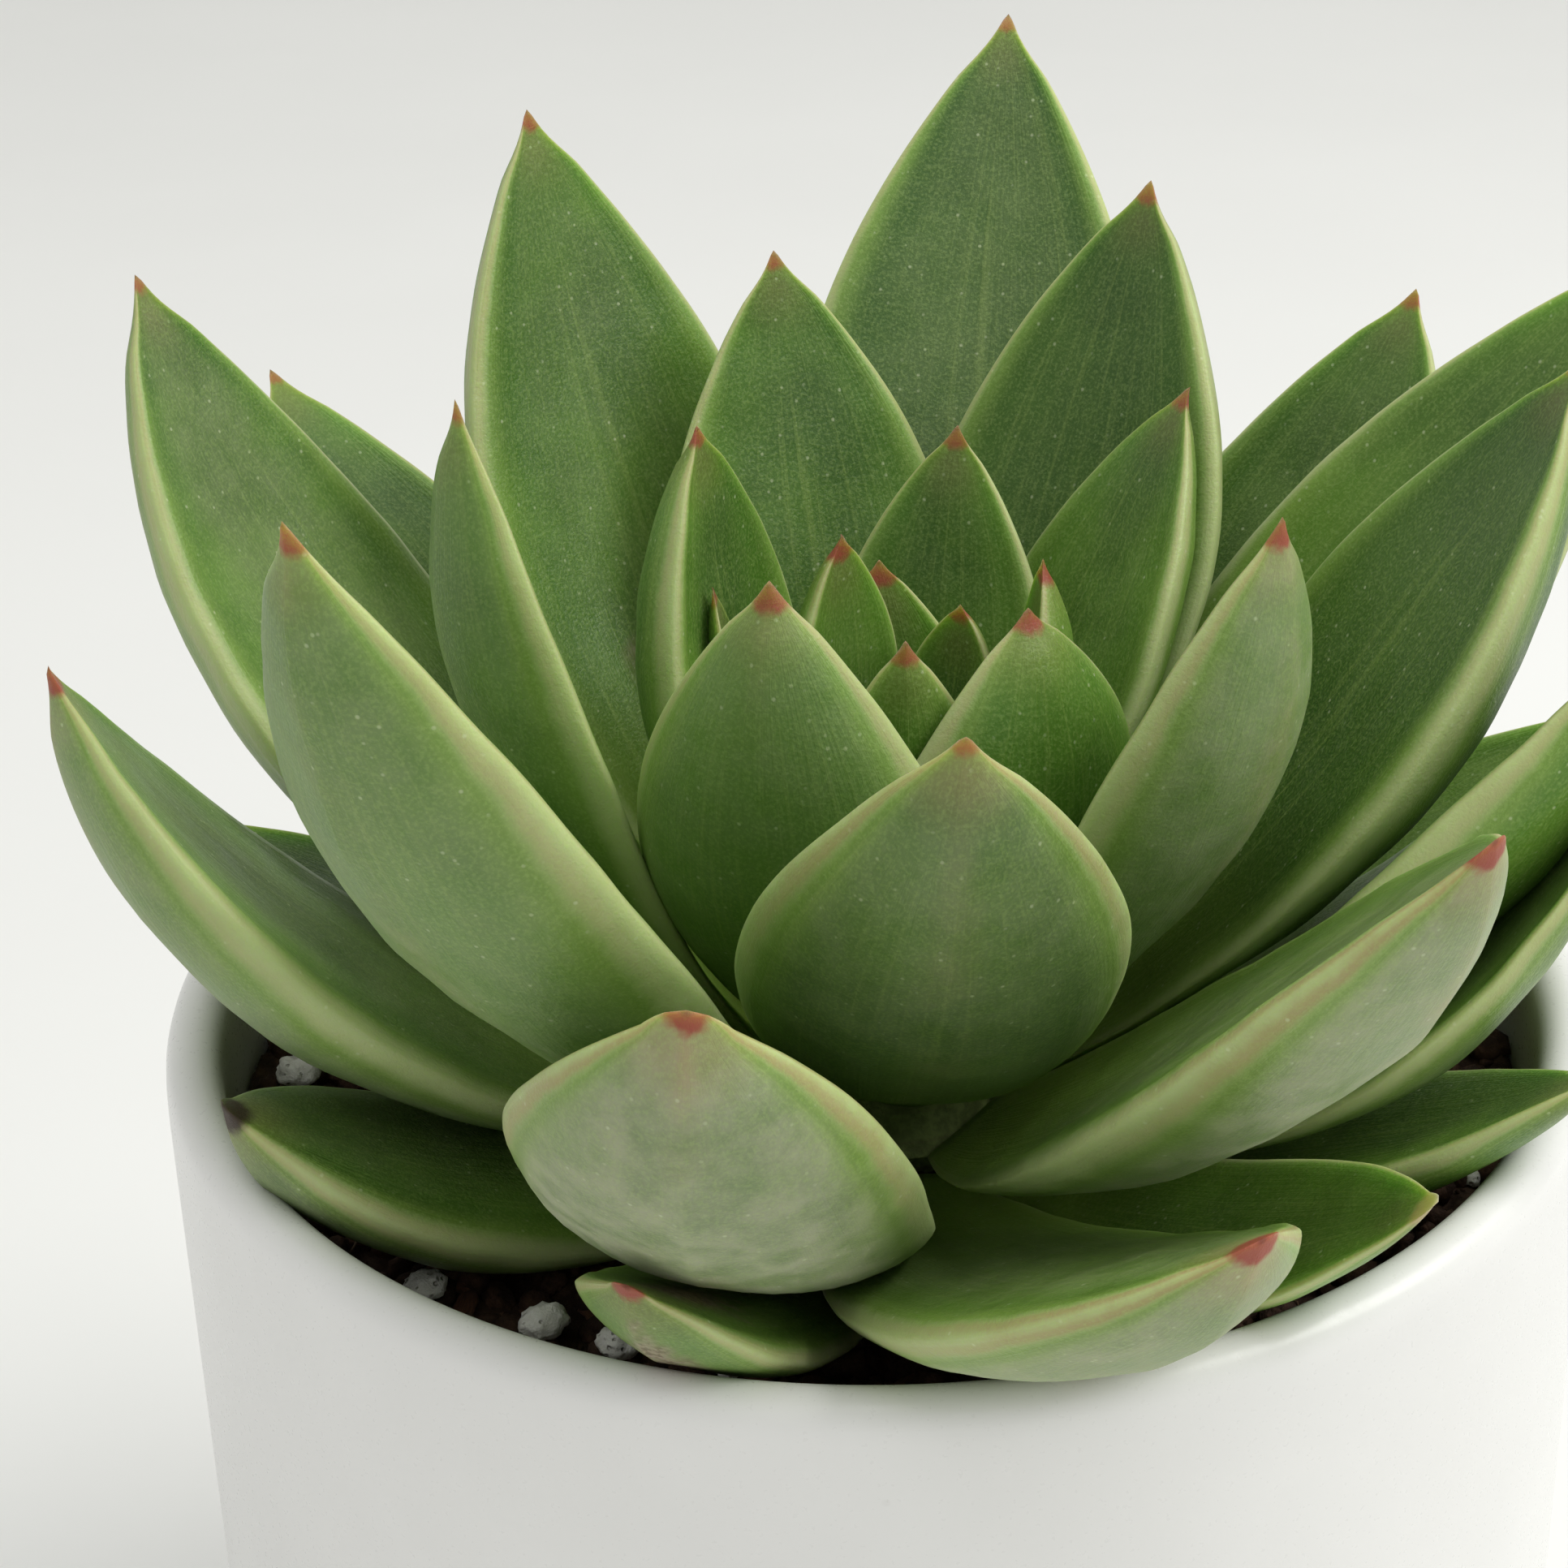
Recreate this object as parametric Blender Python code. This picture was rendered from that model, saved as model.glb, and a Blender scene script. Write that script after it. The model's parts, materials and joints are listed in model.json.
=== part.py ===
"""Potted rosette succulent: a glazed pot, its soil, a short stem, some forty fleshy leaves and loose grains.

Metres, +Z up. The pot stands on z = 0 and its axis is the Z axis. The front of the plant faces -Y.
"""

import math
import random

import bpy
from mathutils import Vector
from mathutils.bvhtree import BVHTree

MM = 0.001

# ---- sizes that can be set on their own --------------------------------------------------------
POT_DIAMETER = 100.0 * MM
POT_HEIGHT = 85.0 * MM
POT_WALL = 4.0 * MM
POT_FLOOR = 6.0 * MM
POT_TAPER = 0.0  # share of the height by which the radius shrinks towards the floor
POT_HEEL = 2.5 * MM  # rounding where the wall meets the flat bottom
SOIL_DROP = 9.5 * MM  # from the top of the lip down to the soil beside the wall
SOIL_DISH = 2.5 * MM  # how much lower the soil lies under the plant
SOIL_RELIEF = 0.5 * MM
FIT_GAP = 0.3 * MM  # left between pieces that touch
LEAF_GAP = 0.05 * MM  # between one leaf and the next, which press together
LEAF_COUNT = 51  # places on the spiral, counted from the growing point outwards
LEAF_SCALE = 1.0  # length, width and thickness of every leaf together
STEM_OFFSET = Vector((1.5 * MM, -2.0 * MM, 0.0))  # the plant stands a little off the pot's axis
CROWN_TOP = 12.0 * MM  # height of the innermost leaf base over the lip
CROWN_DEPTH = 21.5 * MM  # from there down to the outermost leaf base
CROWN_CURVE = 0.33  # the inner leaf bases are spread further apart than the outer ones
STEM_TIP_RADIUS = 0.9 * MM
STEM_SPREAD = 7.0 * MM  # added to the tip radius at the outermost leaf
STEM_ROOT = 9.0 * MM  # length of the stem inside the soil

# ---- the even rosette ---------------------------------------------------------------------------
GOLDEN_ANGLE = 137.508
FIRST_AZIMUTH = 200.0
LONGEST_RANK = 27
DROPPED_RANKS = (5, 7, 9, 11, 12, 13, 32, 35, 42, 43, 44, 45)  # places on the spiral that hold no leaf
FRONT_RANKS = (23, 31, 36, 47, 39, 49)  # the leaves at the front edge, which the rest settle around
FILLING_RANKS = (38, 2, 6, 8, 40, 48)  # leaves that grow into the room the others leave

# Each leaf's own departure from the even rosette, as seen on the living plant: turn about the stem,
# lean at the base, lean at the tip (degrees), length, width (millimetres), roll and sweep (degrees),
# and how much higher it sits on the stem (millimetres).
DEPARTURES = {
    1: (-14, -30, 4, -1, -1, 0, -3, 0),
    3: (4, 5, 9, 8, 2, -2, -5, 0),
    4: (2, -13, 5, 6, 1, -6, -2, 0),
    10: (6, -3, 5, 0, -4, 0, 6, 0),
    14: (2, 5, -2, -4, -3, -8, -4, 0),
    15: (6, 5, 17, -7, 2, 7, 0, 0),
    16: (6, 15, 17, -3, 0, -4, -2, 0),
    17: (19, 11, -8, -4, -3, -10, -7, 1),
    18: (7, -8, 17, -1, -1, -5, 6, 0),
    19: (-3, -3, 6, 1, -1, 9, 2, 0),
    20: (-7, 3, 7, -2, -2, 6, -8, -1),
    21: (11, 0, 18, 3, -6, -12, 19, -1),
    22: (7, 1, 7, 2, 1, -10, -8, 0),
    23: (-5, -9, -2, 0, -2, -4, 5, 0),
    24: (-12, -2, 16, 6, 2, 4, 6, 0),
    25: (-3, 1, 2, -2, 2, 6, 5, -1),
    26: (10, -5, 5, 14, 2, -13, 9, -1.5),
    27: (-6, 2, -2, 10, 2, 4, -3, -1),
    28: (-8, -3, -11, 2, 2, 19, -6, -2),
    29: (-5, -12, 14, 6, 2, 2, -14, 0),
    30: (4, 0, 1, -2, 2, -4, 7, -2),
    31: (-8, -15, 4, -3, 0, -6, 24, -2),
    33: (3, -3, 9, -6, -1, -11, -15, -1),
    34: (-7, -14, 14, 1, 4, 5, -4, -1),
    36: (-14, -8, -11, 0, -1, 0, 28, -3),
    37: (-8, 0, -2, 7, -1, -3, -10, 0),
    38: (8.5, 18.5, 10, 11, 1, 22.5, -17.5, 1),
    39: (15, -12, -6, -11, -6, -10, 0, -3),
    41: (10, -6, 21, -2, 4, 3, 4, -1),
    46: (-19, -2, 0, -6, -5, 2, -18, -2),
    47: (-6.5, -2.5, -3.5, -7.5, -2, -2.5, 0.5, 0),
    49: (0.5, 5.5, 2.5, -1.5, -6.5, 21, 8, -1.5),
    50: (-6, 10, -10, -1, 0, 10, 8, 0),
    51: (-5, 11, 2, 4, 0, 6, -6, 0),
}

# ---- one leaf's outline -------------------------------------------------------------------------
RING_STATIONS = (0.0, 0.08, 0.19, 0.32, 0.45, 0.58, 0.70, 0.81, 0.90, 0.965)
UPPER_SIDE = (-1.0, -0.55, 0.0, 0.55, 1.0)
LOWER_SIDE = (0.6, 0.0, -0.6)
WIDEST = 0.55
BASE_WIDTH = 0.26
BASE_THICKNESS = 0.22
# How full the outline stays towards the tip, the hollow of the upper face and the thickness of the
# leaf, both as shares of its width. A hollow below zero is a crowned upper face.
USUAL_BODY = (1.9, 0.05, 0.22)
BODIES = {
    23: (2.1, 0.04, 0.24),
    28: (2.1, 0.02, 0.22),
    31: (3.0, 0.0, 0.26),
    34: (2.0, 0.02, 0.24),
    36: (3.0, -0.03, 0.22),
    38: (1.9, 0.04, 0.18),
    39: (3.0, -0.08, 0.36),
    47: (2.6, -0.08, 0.30),
    49: (2.4, 0.02, 0.15),
}

# ---- how a leaf makes room for the ones inside it ----------------------------------------------------
OPEN_STEP = 1.0
OPEN_STEPS = 16
LIFT_STEPS = 12
TURN_STEPS = (0.0, 2.0, -2.0, 4.0, -4.0, 7.0, -7.0, 10.0, -10.0, 15.0, -15.0)
RISES = (0.0, 0.7, 1.4)
TRIMS = (1.0, 0.93, 0.86)
SQUEEZES = (1.0, 0.85, 0.72, 0.6, 0.5)
LAST_RESORTS = (1.0, 0.75, 0.55)  # shares of its length, for a leaf that finds no room in any other way

POT_SEGMENTS = 64
SOIL_SEGMENTS = 48
STEM_SEGMENTS = 20

# Grains that lie on the soil: turn about the pot, share of the way from its axis to the wall, half
# length (millimetres).
GRAINS = ((221, 0.852, 1.6), (234, 0.8, 1.9), (242, 0.78, 1.6), (180, 0.909, 1.9))


def clear_scene():
    for obj in list(bpy.data.objects):
        bpy.data.objects.remove(obj, do_unlink=True)


def material(name, colour, roughness):
    made = bpy.data.materials.new(name)
    made.use_nodes = True
    shader = made.node_tree.nodes["Principled BSDF"]
    shader.inputs["Base Color"].default_value = (*colour, 1.0)
    shader.inputs["Roughness"].default_value = roughness
    return made


def make_object(name, points, faces, colour, roughness):
    mesh = bpy.data.meshes.new(name)
    mesh.from_pydata([tuple(p) for p in points], [], faces)
    mesh.validate()
    mesh.update()
    mesh.materials.append(material(name + "_material", colour, roughness))
    for face in mesh.polygons:
        face.use_smooth = True
    obj = bpy.data.objects.new(name, mesh)
    bpy.context.scene.collection.objects.link(obj)
    return obj


def ring_faces(rings, count):
    """Quads between rings of `count` points each, wound to face out when the rings run upwards."""
    faces = []
    for ring in range(rings - 1):
        low = ring * count
        high = low + count
        for i in range(count):
            j = (i + 1) % count
            faces.append((low + i, low + j, high + j, high + i))
    return faces


def lathe(profile, segments):
    """Closed body of revolution. Each profile point is (radius, height, centre); the ends lie on the axis."""
    inner = profile[1:-1]
    points = []
    for radius, height, centre in inner:
        for i in range(segments):
            turn = math.tau * i / segments
            points.append(centre + Vector((radius * math.cos(turn), radius * math.sin(turn), height)))
    faces = ring_faces(len(inner), segments)
    first = len(points)
    points.append(profile[0][2] + Vector((0.0, 0.0, profile[0][1])))
    points.append(profile[-1][2] + Vector((0.0, 0.0, profile[-1][1])))
    top = (len(inner) - 1) * segments
    for i in range(segments):
        j = (i + 1) % segments
        faces.append((first, j, i))
        faces.append((first + 1, top + i, top + j))
    return points, faces


# ---- pot ----------------------------------------------------------------------------------------
def pot_radius(height):
    """Outer radius of the wall at a height over the bottom."""
    return POT_DIAMETER / 2 - POT_TAPER * (POT_HEIGHT - height)


def arc(centre_radius, centre_height, radius, start, end, steps):
    points = []
    for i in range(steps + 1):
        turn = math.radians(start + (end - start) * i / steps)
        points.append((centre_radius + radius * math.cos(turn), centre_height + radius * math.sin(turn)))
    return points


def make_pot():
    lip = POT_WALL / 2
    lip_height = POT_HEIGHT - lip
    bottom = pot_radius(0.0)
    outline = [(0.0, 0.0), (bottom * 0.5, 0.0)]
    outline += arc(bottom - POT_HEEL, POT_HEEL, POT_HEEL, -90, 0, 5)
    outline += [(pot_radius(h), h) for h in (POT_HEIGHT * 0.35, POT_HEIGHT * 0.7)]
    outline += arc(pot_radius(lip_height) - lip, lip_height, lip, 0, 180, 12)
    inner_heel = POT_HEEL * 1.4
    outline += [(pot_radius(POT_HEIGHT * 0.5) - POT_WALL, POT_HEIGHT * 0.5)]
    outline += arc(
        pot_radius(POT_FLOOR) - POT_WALL - inner_heel, POT_FLOOR + inner_heel, inner_heel, 0, -90, 4
    )
    outline += [(0.0, POT_FLOOR)]
    points, faces = lathe([(r, h, Vector()) for r, h in outline], POT_SEGMENTS)
    return make_object("pot", points, faces, (0.82, 0.81, 0.79), 0.35), points, faces


# ---- stem ---------------------------------------------------------------------------------------
def crown_height(share):
    """Height of a leaf base; share runs from 0 at the growing point to 1 at the outermost leaf."""
    return POT_HEIGHT + CROWN_TOP - CROWN_DEPTH * share**CROWN_CURVE


def stem_radius(share):
    return STEM_TIP_RADIUS + STEM_SPREAD * share**0.6


def stem_radius_at(height):
    """Radius of the stem at a height, found by turning the crown's height rule round."""
    depth = (POT_HEIGHT + CROWN_TOP - height) / CROWN_DEPTH
    return stem_radius(min(max(depth, 0.0), 1.0) ** (1.0 / CROWN_CURVE))


def root_radius():
    return stem_radius(1.0) * 0.8


def soil_height(distance):
    """Mean height of the soil at a distance from the pot's axis."""
    share = min(distance / (POT_DIAMETER / 2 - POT_WALL), 1.0)
    return POT_HEIGHT - SOIL_DROP - SOIL_DISH * (1.0 - share**2)


def make_stem():
    soil_top = soil_height(0.0)
    outline = [(0.0, soil_top - STEM_ROOT), (root_radius() * 0.7, soil_top - STEM_ROOT)]
    outline += [(root_radius(), soil_top - STEM_ROOT * 0.7), (root_radius(), soil_top)]
    for share in (1.0, 0.8, 0.62, 0.45, 0.3, 0.18, 0.09, 0.03, 0.0):
        outline.append((stem_radius(share), crown_height(share)))
    outline.append((0.0, crown_height(0.0) + STEM_TIP_RADIUS * 0.6))
    points, faces = lathe([(r, h, STEM_OFFSET) for r, h in outline], STEM_SEGMENTS)
    return make_object("stem", points, faces, (0.36, 0.30, 0.17), 0.8), points, faces


# ---- soil ---------------------------------------------------------------------------------------
def make_soil():
    rng = random.Random(7)
    hole = root_radius() + FIT_GAP
    wall = POT_DIAMETER / 2 - POT_WALL - FIT_GAP
    floor = POT_FLOOR + FIT_GAP
    top = soil_height(0.0)
    heel = POT_HEEL * 1.4 + FIT_GAP
    low_wall = pot_radius(floor) - POT_WALL - FIT_GAP
    axis = Vector()
    profile = [(0.0, floor, axis), (low_wall - heel, floor, axis), (low_wall, floor + heel, axis)]
    profile += [(wall, POT_HEIGHT * 0.6, axis), (wall, soil_height(wall), axis)]
    steps = 7
    for i in range(1, steps + 1):
        share = i / steps
        radius = wall + (hole - wall) * share
        profile.append((radius, soil_height(radius), STEM_OFFSET * share))
    socket = top - STEM_ROOT - FIT_GAP
    profile += [(hole, socket, STEM_OFFSET), (0.0, socket, STEM_OFFSET)]
    points, faces = lathe(profile, SOIL_SEGMENTS)
    first = 4 * SOIL_SEGMENTS
    for index in range(first, first + (steps - 1) * SOIL_SEGMENTS):
        points[index] = points[index] + Vector((0.0, 0.0, rng.uniform(-1.0, 1.0) * SOIL_RELIEF))
    return make_object("soil", points, faces, (0.035, 0.022, 0.016), 0.95), points, faces


# ---- leaves -------------------------------------------------------------------------------------
def width_share(t, bluntness):
    if t < WIDEST:
        return BASE_WIDTH + (1.0 - BASE_WIDTH) * math.sin(math.pi / 2 * t / WIDEST) ** 0.9
    return 1.0 - ((t - WIDEST) / (1.0 - WIDEST)) ** bluntness


def thickness_share(t, bluntness):
    grow = min(t / 0.6, 1.0)
    body = BASE_THICKNESS + (1.0 - BASE_THICKNESS) * grow * grow * (3.0 - 2.0 * grow)
    return body * (1.0 - max((t - 0.55) / 0.45, 0.0) ** (bluntness + 0.5))


def even_leaf(rank):
    """The even rosette's leaf at this rank: azimuth, lean at base and tip, length, width, roll, share."""
    share = (rank - 1) / (LEAF_COUNT - 1)
    azimuth = FIRST_AZIMUTH - GOLDEN_ANGLE * rank
    base_lean = 80.0 * (1.0 - share)
    tip_lean = base_lean + 8.0 + 30.0 * share
    if rank <= LONGEST_RANK:
        length = 15.0 + 2.0 * rank
        width = 8.5 + 0.8 * min(rank, 21)
    else:
        length = 69.0 - 0.85 * (rank - LONGEST_RANK)
        width = 25.3 - 0.17 * (rank - LONGEST_RANK)
    return azimuth, base_lean, tip_lean, length, width, 0.0, share


def own_leaf(rank):
    azimuth, base_lean, tip_lean, length, width, roll, share = even_leaf(rank)
    turn, base, tip, longer, wider, rolled, sweep, lift = DEPARTURES.get(rank, (0,) * 8)
    bluntness, channel, thickness = BODIES.get(rank, USUAL_BODY)
    return {
        "bluntness": bluntness,
        "channel": channel,
        "thickness": thickness,
        "azimuth": azimuth + turn,
        "base_lean": base_lean + base,
        "tip_lean": tip_lean + tip,
        "length": (length + longer) * MM * LEAF_SCALE,
        "width": (width + wider) * MM * LEAF_SCALE,
        "roll": roll + rolled,
        "sweep": sweep,
        "lift": lift * MM,
        "share": share,
    }


def leaf_points(leaf, turn, opening, squeeze, rise, trim):
    """Rings of points from base to tip, then the point of the tip."""
    length = leaf["length"] * trim
    base_lean = leaf["base_lean"] - opening
    tip_lean = leaf["tip_lean"] - opening
    up = Vector((0.0, 0.0, 1.0))
    thickness = leaf["width"] * leaf["thickness"] * squeeze
    lean = math.radians(base_lean)
    base_height = crown_height(leaf["share"]) + leaf["lift"] + rise
    reach = stem_radius_at(base_height) + 1.5 * FIT_GAP
    reach += thickness * BASE_THICKNESS * (abs(math.sin(lean)) + 0.5 * math.cos(lean))
    azimuth = math.radians(leaf["azimuth"] + turn)
    radial = Vector((math.cos(azimuth), math.sin(azimuth), 0.0))
    spine = STEM_OFFSET + radial * reach + up * base_height
    roll = math.radians(leaf["roll"])
    points = []
    last = 0.0
    for t in (*RING_STATIONS, 1.0):
        along, _ = leaf_axes(leaf, turn, base_lean, tip_lean, (t + last) / 2)
        spine = spine + along * length * (t - last)
        last = t
        if t == 1.0:
            points.append(spine.copy())
            break
        along, side = leaf_axes(leaf, turn, base_lean, tip_lean, t)
        normal = along.cross(side)
        across = side * math.cos(roll) + normal * math.sin(roll)
        normal = normal * math.cos(roll) - side * math.sin(roll)
        outline = width_share(t, leaf["bluntness"])
        half = leaf["width"] / 2 * outline * (0.7 + 0.3 * squeeze)
        deep = thickness * thickness_share(t, leaf["bluntness"])
        hollow = leaf["width"] * leaf["channel"] * outline
        for s in UPPER_SIDE:
            points.append(spine + across * (half * s) + normal * (hollow * s * s))
        for s in LOWER_SIDE:
            lower = hollow * s * s - deep * (1.0 - abs(s) ** 2.2)
            points.append(spine + across * (half * s) + normal * lower)
    return points


def leaf_axes(leaf, turn, base_lean, tip_lean, t):
    """Direction of growth and sideways direction at a share t of the length."""
    azimuth = math.radians(leaf["azimuth"] + turn + leaf["sweep"] * t)
    lean = math.radians(base_lean + (tip_lean - base_lean) * t)
    side = Vector((-math.sin(azimuth), math.cos(azimuth), 0.0))
    along = Vector((math.cos(azimuth) * math.cos(lean), math.sin(azimuth) * math.cos(lean), math.sin(lean)))
    return along, side


def leaf_faces():
    count = len(UPPER_SIDE) + len(LOWER_SIDE)
    rings = len(RING_STATIONS)
    faces = ring_faces(rings, count)
    faces.append(tuple(reversed(range(count))))
    last = (rings - 1) * count
    for i in range(count):
        faces.append((last + i, last + (i + 1) % count, rings * count))
    return [tuple(reversed(face)) for face in faces]  # the rings run clockwise, seen from the tip


def grown(points, faces, by):
    """The same shape with every point moved out by a distance."""
    normals = [Vector() for _ in points]
    for face in faces:
        corners = [points[i] for i in face]
        normal = Vector()
        for i in range(1, len(corners) - 1):
            normal += (corners[i] - corners[0]).cross(corners[i + 1] - corners[0])
        for i in face:
            normals[i] += normal
    return [p + n.normalized() * by for p, n in zip(points, normals)]


def room_for(tree, low, high, placed):
    for other, other_low, other_high in placed:
        if any(low[i] > other_high[i] or high[i] < other_low[i] for i in range(3)):
            continue
        if tree.overlap(other):
            return False
    return True


def bounds_of(points):
    low = [min(p[i] for p in points) for i in range(3)]
    high = [max(p[i] for p in points) for i in range(3)]
    return low, high


def ways_to_settle():
    """Small changes to a leaf, the smallest first: opened outwards, turned, thinned, raised, shortened."""
    ways = []
    for step in range(-LIFT_STEPS, OPEN_STEPS + 1):
        for turn in TURN_STEPS:
            price = abs(step) * (1.5 if step < 0 else 1.0) + abs(turn) * 0.8
            for index, squeeze in enumerate(SQUEEZES):
                for rise in RISES:
                    for trim in TRIMS:
                        extra = index * 0.6 + rise * 1.5 + (1.0 - trim) * 25.0
                        ways.append((price + extra, turn, step * OPEN_STEP, squeeze, rise * MM, trim))
    ways.sort(key=lambda way: way[0])
    return [(*way[1:-1], way[-1] * share) for share in LAST_RESORTS for way in ways]


def make_leaves(fixed):
    faces = leaf_faces()
    placed = []
    for points, shape_faces in fixed:
        bigger = grown(points, shape_faces, FIT_GAP * 0.8)
        placed.append((BVHTree.FromPolygons(bigger, shape_faces), *bounds_of(bigger)))
    ways = ways_to_settle()
    others = DROPPED_RANKS + FRONT_RANKS + FILLING_RANKS
    inner_first = [rank for rank in range(1, LEAF_COUNT + 1) if rank not in others]
    for rank in (*FRONT_RANKS, *inner_first, *FILLING_RANKS):
        leaf = own_leaf(rank)
        for way in ways:
            points = leaf_points(leaf, *way)
            low, high = bounds_of(points)
            if room_for(BVHTree.FromPolygons(points, faces), low, high, placed):
                break
        else:
            raise ValueError(f"the rosette has no room for leaf {rank}")
        bigger = grown(points, faces, LEAF_GAP)
        placed.append((BVHTree.FromPolygons(bigger, faces), *bounds_of(bigger)))
        make_object(f"leaf_{rank:02d}", points, faces, (0.16, 0.36, 0.09), 0.45)


# ---- grains --------------------------------------------------------------------------------------
def make_grains():
    rng = random.Random(3)
    for number, (turn, share, half) in enumerate(GRAINS, 1):
        azimuth = math.radians(turn)
        distance = share * (POT_DIAMETER / 2 - POT_WALL)
        half *= MM
        height = soil_height(distance) + SOIL_RELIEF + half * 0.7 + FIT_GAP
        centre = Vector((distance * math.cos(azimuth), distance * math.sin(azimuth), height))
        profile = [(0.0, -half * 0.7), (half * 0.7, -half * 0.5), (half, 0.0), (half * 0.6, half * 0.5)]
        profile.append((0.0, half * 0.65))
        points, faces = lathe([(r, h, Vector()) for r, h in profile], 8)
        points = [centre + p * rng.uniform(0.85, 1.0) for p in points]
        make_object(f"perlite_{number}", points, faces, (0.75, 0.74, 0.70), 0.9)


def main():
    clear_scene()
    _, pot_points, pot_faces = make_pot()
    _, stem_points, stem_faces = make_stem()
    _, soil_points, soil_faces = make_soil()
    make_leaves(((stem_points, stem_faces), (pot_points, pot_faces), (soil_points, soil_faces)))
    make_grains()


main()
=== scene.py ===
"""Looks of the potted rosette succulent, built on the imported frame. Metres, +Z up, front towards -Y."""

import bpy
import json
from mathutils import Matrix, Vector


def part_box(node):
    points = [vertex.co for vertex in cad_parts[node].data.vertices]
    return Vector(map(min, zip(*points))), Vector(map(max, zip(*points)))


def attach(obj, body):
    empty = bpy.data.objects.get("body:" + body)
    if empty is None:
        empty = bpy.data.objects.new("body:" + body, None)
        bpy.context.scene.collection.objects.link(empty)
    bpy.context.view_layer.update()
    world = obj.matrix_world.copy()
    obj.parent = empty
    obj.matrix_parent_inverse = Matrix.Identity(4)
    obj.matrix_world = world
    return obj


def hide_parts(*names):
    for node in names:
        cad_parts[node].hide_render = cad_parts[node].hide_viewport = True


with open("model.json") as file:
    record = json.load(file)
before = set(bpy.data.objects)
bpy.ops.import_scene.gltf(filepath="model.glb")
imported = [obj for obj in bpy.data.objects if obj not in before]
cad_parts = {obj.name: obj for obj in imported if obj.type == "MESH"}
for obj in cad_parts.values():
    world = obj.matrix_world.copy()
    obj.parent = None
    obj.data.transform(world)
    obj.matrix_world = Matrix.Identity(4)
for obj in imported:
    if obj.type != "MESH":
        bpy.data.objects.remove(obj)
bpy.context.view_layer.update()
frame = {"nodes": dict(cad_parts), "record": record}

import json
import math
import random

import bpy
import numpy as np
from mathutils import Matrix, Vector, noise

MM = 0.001
SEED = 20

# ---- leaf surface ------------------------------------------------------------------------------
STEPS_ALONG = 60
STEPS_AROUND = 44
RING_POINTS = 8  # points in each ring of a leaf of the frame
RINGS = 10
TIP_CROWDING = 1.55  # above 1 the rings crowd towards the tip
EVEN_SHARE = 0.35  # how much of the spacing stays even
SECTION_SQUARENESS = 0.92
EDGE_THICKNESS = 0.17  # upper skin at the margin, as a share of the leaf's thickness
UNDERSIDE_FULLNESS = 0.72
KEEL = 0.16
RIM_HEIGHT = 0.05
RIM_PLACE = 0.90  # where the raised rim lies, as a share of the half width
RIM_WIDTH = 0.07
TIP_DRAW = 0.22  # how far the width is drawn in just before the tip
DRAW_FROM, DRAW_TO = 0.93, 0.982
SKIN_WAVE = 0.12 * MM
UPPER_WAVE = 1.6
UNDERSIDE_WAVE = 2.2

# ---- what sets single leaves apart, by the number of the leaf ----------------------------------
# Chosen by comparing renders and sampled colours with the photo.
BLOOM_USUAL = 0.12
BLOOM = {
    18: 0.35, 20: 0.55, 21: 0.3, 23: 0.4, 24: 0.3, 26: 0.4, 27: 0.35, 28: 0.8, 29: 0.7,
    30: 0.3, 31: 1.0, 34: 0.55, 36: 0.8, 39: 0.3, 41: 0.4, 47: 0.5, 51: 0.4,
}
BLUSH_USUAL = 0.4
BLUSH = {18: 0.5, 20: 0.55, 23: 0.75, 26: 0.5, 28: 0.8, 31: 0.75, 36: 0.8, 37: 0.5}
SHADE = {19: 0.25, 22: 0.6, 23: 0.4, 24: 0.2, 25: 0.65, 27: 0.75, 30: 0.3}  # painted shade: these leaves are darkened to a deeper green
BRIGHT = (18, 20, 28, 34)
ROUND_TIPS = (28, 31, 36, 39, 47, 49)
DRY_TIPS = {47: 1.0, 49: 0.4}  # 1 is dried dark, 0.4 dried to straw
# Where a leaf is scarred: share of the length, place across, size of the spot, and how strong.
SCARS = {
    39: ((0.80, -0.1, 0.16, 0.9),),
    24: ((0.42, 0.35, 0.030, 0.5),),
    18: ((0.955, 0.25, 0.018, 0.5),),
    29: ((0.30, -0.5, 0.05, 0.25),),
}

# ---- leaf colours, in linear light ---------------------------------------------------------------
LEAF_GREENS = {  # for each slot the deep and the lively green
    "leaf_inner": ((0.050, 0.138, 0.010), (0.112, 0.240, 0.024)),
    "leaf_middle": ((0.046, 0.132, 0.008), (0.104, 0.230, 0.021)),
    "leaf_outer": ((0.050, 0.130, 0.009), (0.110, 0.230, 0.023)),
}
# deepest green for the middle of a face: partly the leaf's own colour, partly painted shade
MIDDLE_GREEN_AND_SHADE = (0.030, 0.090, 0.008)
# deep green for the painted shade of the leaves in SHADE
SHADED_GREEN = (0.024, 0.080, 0.006)
BASAL_GREEN = (0.260, 0.390, 0.055)
STREAK_GREEN = (0.30, 0.40, 0.10)
VEIL_GREY = (0.300, 0.350, 0.165)
PATCH_GREY = (0.365, 0.385, 0.250)
PATCH_WARM = (0.42, 0.29, 0.19)
MARGIN_SOFT = (0.330, 0.450, 0.115)
MARGIN_PALE = (0.520, 0.580, 0.290)
MARGIN_LINE = (0.32, 0.145, 0.065)
LINE_STRENGTH = 0.6
TIP_HALO = (0.42, 0.270, 0.120)
SKIN_GRAIN = (0.42, 0.56, 0.18)
SKIN_DOTS = (0.62, 0.68, 0.44)
TIP_RED = (0.305, 0.070, 0.045)
TIP_DARK = (0.10, 0.022, 0.014)
DRY_STRAW, DRY_DARK = (0.42, 0.33, 0.16), (0.045, 0.028, 0.018)
CORK_LIGHT, CORK_DARK = (0.33, 0.27, 0.19), (0.16, 0.11, 0.07)

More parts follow.
